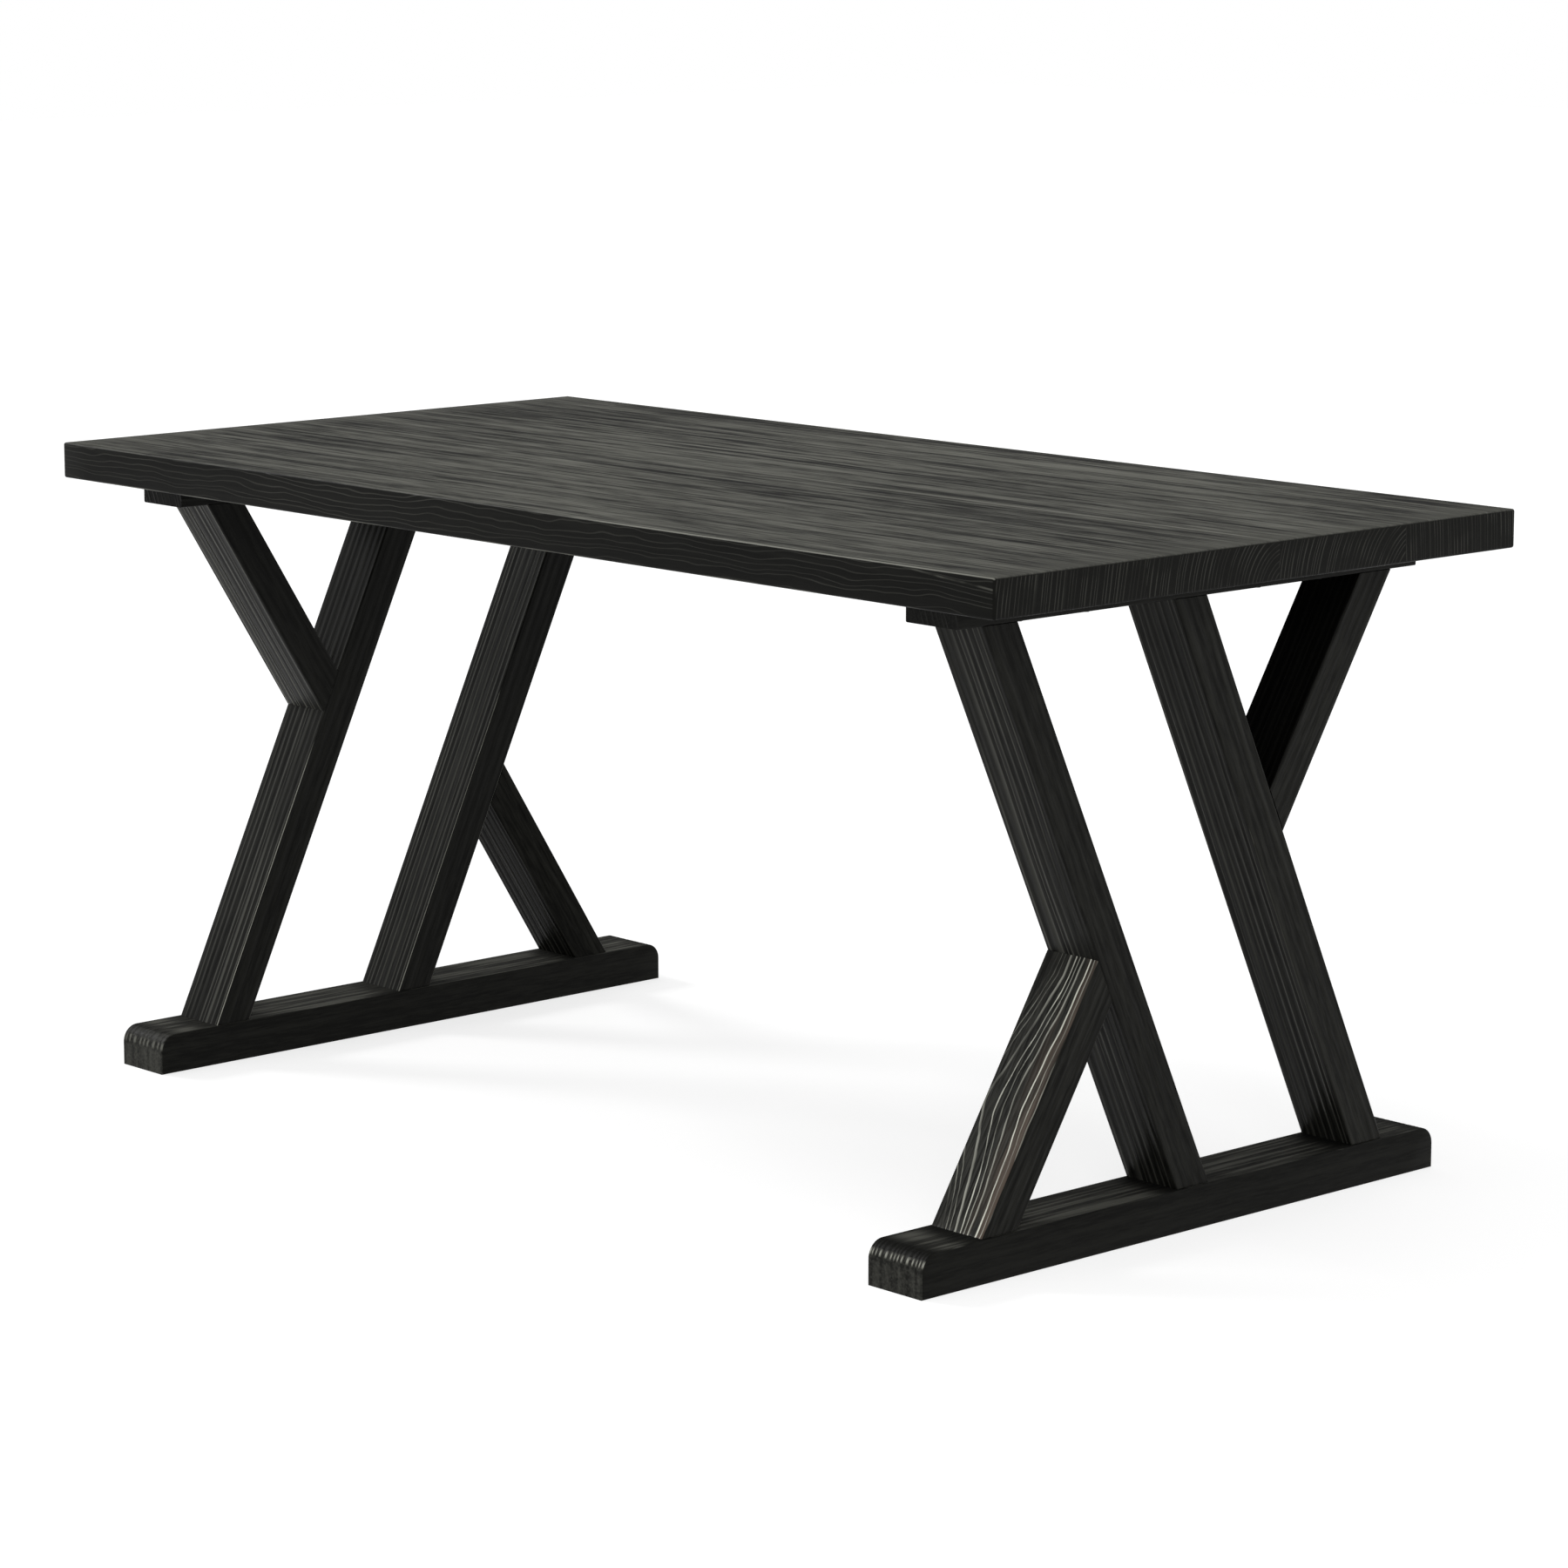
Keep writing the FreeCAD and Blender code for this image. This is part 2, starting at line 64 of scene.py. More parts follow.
toe_round = 0.020
foot_arris = 0.002
foot_width = 0.082
foot_end, foot_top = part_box("left_foot")[1].y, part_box("left_foot")[1].z
foot_ridge_depth = 0.0005
foot_ridge_sway, foot_sway_turns = 0.0012, 11.0
foot_ridge_drift, foot_drift_turns = 0.0018, 190.0
foot_flat_share, toe_share_gain = 0.4, 1.4
corner_reach, corner_full, corner_fade, corner_end = 0.05, 0.004, 0.01, 0.02
stroke_fade = 0.2
across_trestle = Vector((1, 0, 0))
along_foot = Vector((0, 1, 0))
hair = 0.0001


def start_timber(name, centre, size, lean=0):
    """Adds a block of timber at its place, leans it about X, and opens it for shaping."""
    bpy.ops.object.select_all(action="DESELECT")
    bpy.ops.mesh.primitive_cube_add(size=1, location=centre, rotation=(lean, 0, 0))
    timber = bpy.context.object
    timber.name = timber.data.name = name
    timber.scale = size
    bpy.ops.object.transform_apply(location=True, rotation=True, scale=True)
    bpy.ops.object.mode_set(mode="EDIT")
    bpy.ops.mesh.select_mode(type="EDGE")
    return timber


def pick_edges(timber, chosen):
    """Selects the edges whose middle and direction pass a test, and no others."""
    bpy.ops.mesh.select_all(action="DESELECT")
    mesh = bmesh.from_edit_mesh(timber.data)
    for edge in mesh.edges:
        start, end = (corner.co for corner in edge.verts)
        edge.select = chosen((start + end) / 2, (end - start).normalized())
    mesh.select_flush_mode()
    bmesh.update_edit_mesh(timber.data)


def runs_along(direction, line):
    return abs(direction.dot(line)) > 0.999


def slice_timber(line, start, end, step):
    """Runs cuts right round the timber between two distances along a line."""
    count = max(1, round((end - start) / step))
    for index in range(1, count):
        bpy.ops.mesh.select_all(action="SELECT")
        place = start + (end - start) * index / count
        bpy.ops.mesh.bisect(plane_co=line * place, plane_no=line)


def press_hollows(timber, depth, hollow):
    """Presses the soft wood in by a depth, as far as a share from 0 to 1 says for each place."""
    bpy.ops.object.mode_set(mode="OBJECT")
    hollows = timber.vertex_groups.new(name="hollows")
    for corner in timber.data.vertices:
        hollows.add([corner.index], hollow(corner.co), "REPLACE")
    pressing = timber.modifiers.new("pressing", "DISPLACE")
    pressing.vertex_group = hollows.name
    pressing.mid_level = 0
    pressing.strength = -depth
    bpy.ops.object.modifier_apply(modifier=pressing.name)


def fit_timber(timber, node, stain):
    """Smooths the timber, stains it and puts it in the place of its CAD node."""
    bpy.ops.object.shade_smooth_by_angle(angle=radians(35))
    timber.data.materials.append(stain)
    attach(timber, "root")
    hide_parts(node)


def feed(tree, socket, value):
    """Links a socket to another one, or sets it to a plain value."""
    if isinstance(value, bpy.types.NodeSocket):
        tree.links.new(value, socket)
    else:
        socket.default_value = value


def add_node(tree, kind, inputs, **settings):
    node = tree.nodes.new("ShaderNode" + kind)
    for name, value in settings.items():
        setattr(node, name, value)
    for name, value in inputs.items():
        feed(tree, node.inputs[name], value)
    return node


def calc(tree, operation, *values):
    return add_node(tree, "Math", dict(enumerate(values)), operation=operation).outputs[0]


def weigh(tree, *parts):
    """Adds up the parts of a pattern, each with its own weight."""
    total = 0.0
    for part, weight in parts:
        total = calc(tree, "MULTIPLY_ADD", part, weight, total)
    return total


def ripple(tree, value, turns, height):
    """A sine wave of a height, which turns by so many radians a unit."""
    return calc(tree, "MULTIPLY", calc(tree, "SINE", calc(tree, "MULTIPLY", value, turns)), height)


def ease(tree, value, low, high):
    """A soft step from 0 at the low value to 1 at the high one."""
    inputs = {"Value": value, "From Min": low, "From Max": high}
    return add_node(tree, "MapRange", inputs, interpolation_type="SMOOTHSTEP").outputs[0]


def noise(tree, vector, scale, detail=2.0, roughness=0.5):
    """Soft noise from 0 to 1, with its scale in waves a metre: across, through and along the grain."""
    stretched = add_node(tree, "VectorMath", {0: vector, 1: scale}, operation="MULTIPLY").outputs[0]
    inputs = {"Vector": stretched, "Scale": 1.0, "Detail": detail, "Roughness": roughness}
    return add_node(tree, "TexNoise", inputs, normalize=True).outputs["Fac"]


def blend_colours(tree, factor, first, second):
    return add_node(tree, "Mix", {0: factor, 6: first, 7: second}, data_type="RGBA").outputs[2]


def split(tree, vector):
    return add_node(tree, "SeparateXYZ", {0: vector}).outputs


def grey(level, warmth=0.065):
    """A near-black stain colour from a screen tone of 0 to 255, a little short of blue."""
    linear = (level / 255 / 12.92) if level < 10.3 else ((level / 255 + 0.055) / 1.055) ** 2.4
    return (linear * (1 + warmth / 2), linear * (1 + warmth / 2), linear * (1 - warmth * 1.6), 1)


def start_group(name, inputs, outputs):
    """Opens a node group with named inputs, and outputs that are all plain values."""
    group = bpy.data.node_groups.new(name, "ShaderNodeTree")
    for label, kind in inputs.items():
        group.interface.new_socket(name=label, in_out="INPUT", socket_type="NodeSocket" + kind)
    for label in outputs:
        group.interface.new_socket(name=label, in_out="OUTPUT", socket_type="NodeSocketFloat")
    return group, group.nodes.new("NodeGroupInput").outputs, group.nodes.new("NodeGroupOutput").inputs


def make_pine_figure():
    """The figure of brushed pine. Z runs along the grain, and Ring counts metres across the growth rings."""
    group, given, result = start_group(
        "pine_figure",
        {"Vector": "Vector", "Ring": "Float", "Spacing": "Float", "Wander": "Float", "Onset": "Float",
         "Evenness": "Float"},
        ("Lines", "Fibre", "Streak", "Patch"))
    vector = given["Vector"]
    swing = noise(group, vector, (9, 9, 2.6), 2)
    swing = calc(group, "MULTIPLY", calc(group, "SUBTRACT", swing, 0.5), given["Wander"])
    ring = calc(group, "DIVIDE", calc(group, "ADD", given["Ring"], swing), given["Spacing"])
    drift = add_node(group, "TexNoise", {"W": calc(group, "MULTIPLY", ring, 0.43), "Scale": 1.0, "Detail": 1.0},
                     noise_dimensions="1D", normalize=True).outputs["Fac"]
    ring = calc(group, "MULTIPLY_ADD", drift, 1.8, ring)
    phase = calc(group, "FRACT", ring)
    late = calc(group, "MULTIPLY", ease(group, phase, given["Onset"], 0.82), ease(group, phase, 1.0, 0.84))
    fade = ease(group, noise(group, vector, (24, 24, 3.2), 1), 0.3, 0.62)
    fade = calc(group, "MAXIMUM", fade, given["Evenness"])
    feed(group, result["Lines"], calc(group, "MULTIPLY", late, fade))
    feed(group, result["Fibre"], noise(group, vector, (380, 380, 34), 3, 0.6))
    feed(group, result["Streak"], noise(group, vector, (150, 150, 5), 2, 0.55))
    feed(group, result["Patch"], noise(group, vector, (24, 24, 2.2), 2))
    return group


def make_arris_wear_and_highlight():
    """Stain rubbed thin along the arrises, and a painted highlight there. Normal is in the timber's own directions.
    """
    group, given, result = start_group(
        "arris_wear_and_highlight", {"Normal": "Vector", "Vector": "Vector", "Amount": "Float"}, ("Wear and highlight",))
    sides = split(group, add_node(group, "VectorMath", {0: given["Normal"]}, operation="ABSOLUTE").outputs[0])
    flat = calc(group, "MAXIMUM", calc(group, "MAXIMUM", sides[0], sides[1]), sides[2])
    arris = ease(group, flat, 0.94, 0.8)
    least = calc(group, "MULTIPLY_ADD", given["Amount"], -0.5, 0.65)
    most = calc(group, "ADD", least, 0.2)
    rubbed = ease(group, noise(group, given["Vector"], (70, 70, 9), 3, 0.6), least, most)
    feed(group, result["Wear and highlight"], calc(group, "MULTIPLY", arris, rubbed))
    return group


pine_figure = make_pine_figure()
arris_wear_and_highlight = make_arris_wear_and_highlight()


def place_group(tree, group, **inputs):
    node = tree.nodes.new("ShaderNodeGroup")
    node.node_tree = group
    for name, value in inputs.items():
        feed(tree, node.inputs[name], value)
    return node.outputs


def start_finish(name):
    finish = bpy.data.materials.new(name)
    finish.use_nodes = True
    tree = finish.node_tree
    return finish, tree, tree.nodes["Principled BSDF"]


def raise_grain(tree, shader, height, distance):
    """Gives a finish its fine relief."""
    bump = add_node(tree, "Bump", {"Height": height, "Distance": distance, "Strength": 1.0})
    feed(tree, shader.inputs["Normal"], bump.outputs[0])


def trestle_ring(tree, grain):
    """Rings that stand almost square to the wide faces, so those show straight lines."""
    across, thickness, along = split(tree, grain)
    return calc(tree, "MULTIPLY_ADD", thickness, 0.38, across)


def stain_timber(name, lean, offset, face, side, line=1.9, spacing=0.0092, wander=0.012, evenness=0.2,
                 wear_and_highlight=0.1, relief=0.0003, dull=0.22, shine=0.05, ridges=None, rubbed=None, bare=None, painted_shade=None):
    """Black stain on brushed pine whose grain leans this far from upright, towards the rear.

    Face and side are the screen tones of the figured faces and of the plainer ones beside them, and line says
    how much paler the grain lines are. Three hooks draw masks: a timber's own lines, which on the feet carry
    painted highlights, stain rubbed back to a bare colour, and painted shade.
    """
    stain, tree, shader = start_finish(name)
    place = add_node(tree, "TexCoord", {}).outputs["Object"]
    grain = add_node(tree, "Mapping", {"Vector": place, "Rotation": (lean, 0, 0), "Location": offset}).outputs[0]
    figure = place_group(tree, pine_figure, Vector=grain, Ring=trestle_ring(tree, grain), Spacing=spacing,
                         Wander=wander, Onset=0.55, Evenness=evenness)
    normal = add_node(tree, "NewGeometry", {}).outputs["Normal"]
    facing = add_node(tree, "Mapping", {"Vector": normal, "Rotation": (lean, 0, 0)}, vector_type="NORMAL").outputs[0]
    flank = ease(tree, calc(tree, "ABSOLUTE", split(tree, facing)[0]), 0.5, 0.8)
    flecks = noise(tree, grain, (200, 200, 20), 2, 0.6)
    tone = weigh(tree, (figure["Fibre"], 1.7), (figure["Streak"], 0.9), (figure["Patch"], 0.7), (flecks, 0.9))
    tone = ease(tree, tone, 1.7, 2.55)
    lines = ridges(tree, grain) if ridges else figure["Lines"]
    figured = blend_colours(tree, tone, grey(face * 0.54), grey(face * 1.3))
    # Painted shade, blended towards a quarter of the face tone.
    if painted_shade:
        figured = blend_colours(tree, painted_shade(tree), figured, grey(face * 0.25))
    if rubbed:
        figured = blend_colours(tree, rubbed(tree, grain), figured, bare)
    figured = blend_colours(tree, lines, figured, grey(face * line))
    plain = blend_colours(tree, tone, grey(side * 0.66), grey(side * 1.3))
    plain = blend_colours(tree, calc(tree, "MULTIPLY", figure["Lines"], 0.5), plain, grey(side * 1.6))
    colour = blend_colours(tree, flank, figured, plain)
    # Pale grey wear on the arrises low down, which on the left legs is also a painted highlight along their front
    # right arrises.
    low_down = ease(tree, split(tree, place)[2], 0.55, 0.2)
    amount = calc(tree, "MULTIPLY", low_down, wear_and_highlight)
    worn_and_lit = place_group(tree, arris_wear_and_highlight, Normal=facing, Vector=grain, Amount=amount)["Wear and highlight"]
    colour = blend_colours(tree, worn_and_lit, colour, grey(165))
    feed(tree, shader.inputs["Base Color"], colour)
    level_face = ease(tree, split(tree, normal)[2], 0.9, 0.98)
    dullness = calc(tree, "MULTIPLY_ADD", level_face, 0.4, dull)
    feed(tree, shader.inputs["Roughness"], calc(tree, "MULTIPLY_ADD", figure["Streak"], 0.25, dullness))
    shader.inputs["Specular IOR Level"].default_value = shine
    raise_grain(tree, shader, calc(tree, "MULTIPLY_ADD", figure["Fibre"], 0.5, lines), relief)
    return stain


def foot_crest(place, pitch):
    """How near a place on the foot is to the crest of a brushed ridge, from 0 to 1."""
    sway = foot_ridge_sway * sin(foot_sway_turns * place.y)
    drift = foot_ridge_drift * sin(foot_drift_turns * place.x)
    return 0.5 + 0.5 * sin(2 * pi * (place.x + sway + drift) / pitch)


def toe_places(tree):
    """How far up its round and out along it a place on the toe lies, in radii.

    The flat is 1 up, and the end of the foot is 1 out.
    """
    across, along, height = split(tree, add_node(tree, "TexCoord", {}).outputs["Object"])
    above = calc(tree, "SUBTRACT", height, foot_top - toe_round)
    beyond = calc(tree, "SUBTRACT", calc(tree, "ABSOLUTE", along), foot_end - toe_round)
    return across, along, calc(tree, "DIVIDE", above, toe_round), calc(tree, "DIVIDE", beyond, toe_round)


def foot_corners(tree, along, seats):
    """The inner corners in front of the timbers that stand on the foot."""
    corners = 0.0
    for seat in seats:
        towards = ease(tree, along, seat - corner_reach, seat - corner_full)
        within = ease(tree, along, seat + corner_end, seat + corner_fade)
        corners = calc(tree, "MAXIMUM", corners, calc(tree, "MULTIPLY", towards, within))
    return corners


def foot_arrises(tree, across, middle, start, full):
    """The long arrises, which begin at one distance in from the sides and are full at another."""
    off = calc(tree, "ABSOLUTE", calc(tree, "SUBTRACT", across, middle))
    return ease(tree, off, foot_width / 2 - start, foot_width / 2 - full)


def foot_lines_and_highlights(tree, grain, middle, look):
    """The same crests for the stain: streaks on the flat, partly painted sheen, and painted highlights on the toes.
    """
    across, along, up, out = toe_places(tree)
    sway = ripple(tree, along, foot_sway_turns, foot_ridge_sway)
    drift = ripple(tree, across, foot_drift_turns, foot_ridge_drift)
    shifted = calc(tree, "ADD", across, calc(tree, "ADD", sway, drift))
    crest = ease(tree, calc(tree, "SINE", calc(tree, "MULTIPLY", shifted, 2 * pi / look["pitch"])), 0.0, 0.9)
    patchy = ease(tree, noise(tree, grain, (170, 0, 0), 1), 0.2, 0.5)
    arrises = foot_arrises(tree, across, middle, start=0.0045, full=0.002)
    highlight_strokes = calc(tree, "MAXIMUM", calc(tree, "MULTIPLY", crest, patchy), arrises)
    rise = ease(tree, up, look["lowest"], look["lowest"] + stroke_fade)
    fall = ease(tree, up, look["highest"], look["highest"] - stroke_fade)
    highlight_strokes = calc(tree, "MULTIPLY", highlight_strokes, calc(tree, "MULTIPLY", rise, fall))
    highlight_strokes = calc(tree, "MULTIPLY", highlight_strokes, look["strength"])
    clear = ease(tree, foot_corners(tree, along, look["seats"]), 1.0, 0.0)
    flat = calc(tree, "MULTIPLY", ease(tree, out, 0.2, -1.2), clear)
    below_toe = ease(tree, up, 0.1, -0.1)
    streaks = ease(tree, noise(tree, grain, (130, 0, 5), 1), 0.42, 0.64)
    spread = weigh(tree, (below_toe, 0.08), (flat, 0.2))
    return calc(tree, "MULTIPLY_ADD", streaks, spread, highlight_strokes)


def foot_shade(tree, middle, look):
    """Painted shade: high on the toes, in the inner corners, along arrises and, less so, on the flat."""
    across, along, up, out = toe_places(tree)
    upper_toe = ease(tree, up, look["highest"] - 0.1, look["highest"] + 0.02)
    band = calc(tree, "MULTIPLY", upper_toe, ease(tree, out, -1.6, 0.35))
    level_face = ease(tree, up, 0.8, 0.95)
    corners = calc(tree, "MULTIPLY", foot_corners(tree, along, look["seats"]), level_face)
    arrises = foot_arrises(tree, across, middle, start=0.003, full=0.001)
    arrises = calc(tree, "MULTIPLY", arrises, ease(tree, up, 0.7, 0.85))
    shade = calc(tree, "MAXIMUM", band, calc(tree, "MAXIMUM", corners, arrises))
    flat_shade = calc(tree, "MULTIPLY", level_face, look["flat_shade"])
    return calc(tree, "MAXIMUM", calc(tree, "MULTIPLY", shade, look["depth"]), flat_shade)


# Lowest, highest and strength place the painted highlight strokes on the toes; highest also bounds the painted shade
# above them, and depth and the value for the flat set how dark that shade is.
foot_looks = {
    "left": dict(pitch=0.0092, lowest=0.03, highest=0.6, strength=0.35, depth=0.25, flat_shade=0.1,
                 seats=(-0.316, -0.033, 0.259)),
    "right": dict(pitch=0.0064, lowest=0.22, highest=0.68, strength=1.0, depth=0.9, flat_shade=0.24,
                  seats=(-0.312, -0.017, 0.266)),
}
foot_tones = {
    "left": dict(offset=(0.11, 0.37, 0.52), face=46, side=24),
    "right": dict(offset=(0.43, 0.05, 0.17), face=45, side=22),
}
for side, tones in foot_tones.items():
    low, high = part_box(side + "_foot")
    centre, size = (low + high) / 2, high - low
    look = foot_looks[side]
    foot = start_timber(side + "_foot_beam", centre, size)
    pick_edges(foot, lambda middle, line: runs_along(line, across_trestle) and middle.z > high.z - hair)
    bpy.ops.mesh.bevel(offset=toe_round, segments=12, affect="EDGES")
    pick_edges(foot, lambda middle, line: abs(middle.x - centre.x) > size.x / 2 - hair)
    bpy.ops.mesh.bevel(offset=foot_arris, segments=3, affect="EDGES")
    slice_timber(across_trestle, low.x + foot_arris, high.x - foot_arris, step=0.0011)
    slice_timber(along_foot, low.y + toe_round, high.y - toe_round, step=0.025)

    def hollow(place):
        """Full hollows on the toes, shallower ones on the flat, and none on the arrises."""
        if abs(place.x - centre.x) > size.x / 2 - foot_arris or place.z < foot_arris:
            return 0
        up_toe = 1 + (place.z - high.z) / toe_round
        out_toe = 1 + (abs(place.y - centre.y) - size.y / 2) / toe_round
        share = max(foot_flat_share, min(1, toe_share_gain * min(up_toe, out_toe)))
        return share * (1 - foot_crest(place, look["pitch"]))

    press_hollows(foot, foot_ridge_depth, hollow)
    # The feet's stain carries painted highlight strokes on the toes, and painted shade on the toes, in the corners
    # and along the arrises.
    stain = stain_timber(
        side + "_foot_stain", radians(-90), spacing=look["pitch"], wander=0.006, line=3.4, dull=0.35, wear_and_highlight=0.0,
        ridges=lambda tree, grain: foot_lines_and_highlights(tree, grain, centre.x, look),
        painted_shade=lambda tree: foot_shade(tree, centre.x, look), **tones)
    fit_timber(foot, side + "_foot", stain)


# Legs
# Two parallel slanted timbers in each trestle, of the same brushed and stained pine as the feet.
# Each is cut level at both ends, tenoned into the foot and into the cleat, and its long arrises are eased.

leg_lean = radians(25)
leg_depth = 0.0455
timber_width = 0.076
timber_arris = 0.002
rough_length, sliced_length = 0.9, 0.72
leg_ridge_pitch = 0.0115
leg_ridge_depth = 0.0004
leg_ridge_unevenness = 3.5
cleat_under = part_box("left_cleat")[0].z
level = Vector((0, 0, 1))


def saw_off(line, place, keep_below):
    """Saws the timber square to a line, at a distance along it, and drops one side."""
    bpy.ops.mesh.select_all(action="SELECT")
    bpy.ops.mesh.bisect(plane_co=line * place, plane_no=line, use_fill=True,
                        clear_outer=keep_below, clear_inner=not keep_below)


def brush_timber(timber, across, along, pitch, depth, unevenness, offset, only=""):
    """Presses hollows between ridges that run along the grain, as a wire brush leaves them.

    The wood texture's bands turn ten radians a unit, and a unit is four metres along the grain.
    """
    bpy.ops.object.mode_set(mode="OBJECT")
    bpy.ops.object.empty_add()
    brush_axes = bpy.context.object
    band_turns, metres_along = 10, 4
    stride = pitch * band_turns / (2 * pi)
    turn = Matrix((across, along.cross(across), along)).transposed().to_4x4()
    reach = Matrix.Diagonal((stride, stride, metres_along, 1))
    brush_axes.matrix_world = Matrix.Translation(across * offset) @ turn @ reach
    hollows = bpy.data.textures.new("brushed_hollows", type="WOOD")
    hollows.wood_type = "BANDNOISE"
    hollows.noise_basis_2 = "SIN"
    hollows.noise_scale = 0.9
    hollows.turbulence = unevenness
    bpy.ops.object.select_all(action="DESELECT")
    timber.select_set(True)
    bpy.context.view_layer.objects.active = timber
    brushing = timber.modifiers.new("brushing", "DISPLACE")
    brushing.texture = hollows
    brushing.texture_coords = "OBJECT"
    brushing.texture_coords_object = brush_axes
    brushing.mid_level = 1
    brushing.strength = depth
    brushing.vertex_group = only
    bpy.ops.object.modifier_apply(modifier=brushing.name)
    bpy.data.objects.remove(brush_axes)
    bpy.data.textures.remove(hollows)


def ease_and_brush(timber, centre, depth, grain, offset, fine=0.0014, coarse=0.05):
    """Eases the long arrises, cuts the faces finely enough for ridges, and brushes them."""
    thickness = grain.cross(across_trestle)
    pick_edges(timber, lambda middle, line: runs_along(line, grain))
    bpy.ops.mesh.bevel(offset=timber_arris, segments=3, affect="EDGES")
    for line, width in ((across_trestle, timber_width), (thickness, depth)):
        middle = centre.dot(line)
        half = width / 2 - timber_arris
        slice_timber(line, middle - half, middle + half, fine)
    middle = centre.dot(grain)
    slice_timber(grain, middle - sliced_length / 2, middle + sliced_length / 2, coarse)
    brush_timber(timber, across_trestle, grain, leg_ridge_pitch, leg_ridge_depth, leg_ridge_unevenness, offset)


# The left legs' strong arris wear is also a painted highlight, on the lower parts that the front lamp reaches.
leg_tones = {
    "left_front_leg": dict(offset=(0.21, 0.63, 0.35), face=27, side=25, line=2.8, wear_and_highlight=1.0),
    "left_rear_leg": dict(offset=(0.74, 0.12, 0.88), face=31, side=24, line=2.8, evenness=0.6, wear_and_highlight=1.2),
    "right_front_leg": dict(offset=(0.57, 0.91, 0.04), face=29, side=31, line=2.7),
    "right_rear_leg": dict(offset=(0.33, 0.48, 0.69), face=29, side=33, line=2.6, evenness=0.4),
}
for name, tones in leg_tones.items():
    low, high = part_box(name)
    rearward = 1 if name.startswith("left") else -1
    grain = Vector((0, rearward * sin(leg_lean), cos(leg_lean)))
    centre = Vector(((low.x + high.x) / 2, (low.y + high.y) / 2, (foot_top + cleat_under) / 2))
    leg = start_timber(name + "_timber", centre, (timber_width, leg_depth, rough_length), -rearward * leg_lean)
    saw_off(level, foot_top, keep_below=False)
    saw_off(level, cleat_under, keep_below=True)
    ease_and_brush(leg, centre, leg_depth, grain, tones["offset"][0])
    stain = stain_timber(name + "_stain", rearward * leg_lean, **tones)
    fit_timber(leg, name, stain)


# Braces
# Four short timbers that lean against the legs the other way, two in each trestle, stained as the legs are.
# One end is level, on the foot or under the cleat, and the other is bevelled to lie on the leg's slanted face,
# where a hidden slip tenon is glued in. Bold grain lines stand out on the front of the right lower one.

brace_lean = radians(32)
brace_depth = 0.045
brace_seat = brace_depth / cos(brace_lean)
ridge_side, ridge_base, ridge_run = 0.625, -0.1246, 0.3187
ridge_gap, ridge_half, ridge_height = 0.09, 0.016, 0.0006
ridge_phase = 0.2
ridge_waves = ((0.012, 9.0, 4.0), (0.005, 27.0, 11.0), (0.002, 61.0, -17.0))
ridge_warp, ridge_warp_turns = 0.022, 20.0
ridge_strength_turns = 47.0
bow_middle, bow_reach, bow_bluntness, bow_peak = 0.46, 0.42, 0.06, 1.13
bow_sweep = (0.54, -0.67, 0.13)
bow_narrowing = (0.67, -0.26)
thin_stain = (0.15, 0.115, 0.092, 1)


def ridge_share(across, along):
    """How much of a raised grain line stands at a place on the right lower brace's front, from 0 to 1."""
    u = (across - ridge_side) / timber_width
    v = (along - ridge_base) / ridge_run
    bow = max(0, bow_peak - sqrt(((v - bow_middle) / bow_reach) ** 2 + bow_bluntness))
    ring = u + bow * (bow_sweep[0] + bow_sweep[1] * u + bow_sweep[2] * u * u)
    ring += sum(height * sin(turns * v + skew * u) for height, turns, skew in ridge_waves)
    ring += ridge_warp * sin(ridge_warp_turns * ring)
    spread = 1 - bow * (bow_narrowing[0] + bow_narrowing[1] * u)
    off = abs((ring / ridge_gap + ridge_phase) % 1 - 0.5) * ridge_gap / spread
    return max(0, 1 - off / ridge_half)


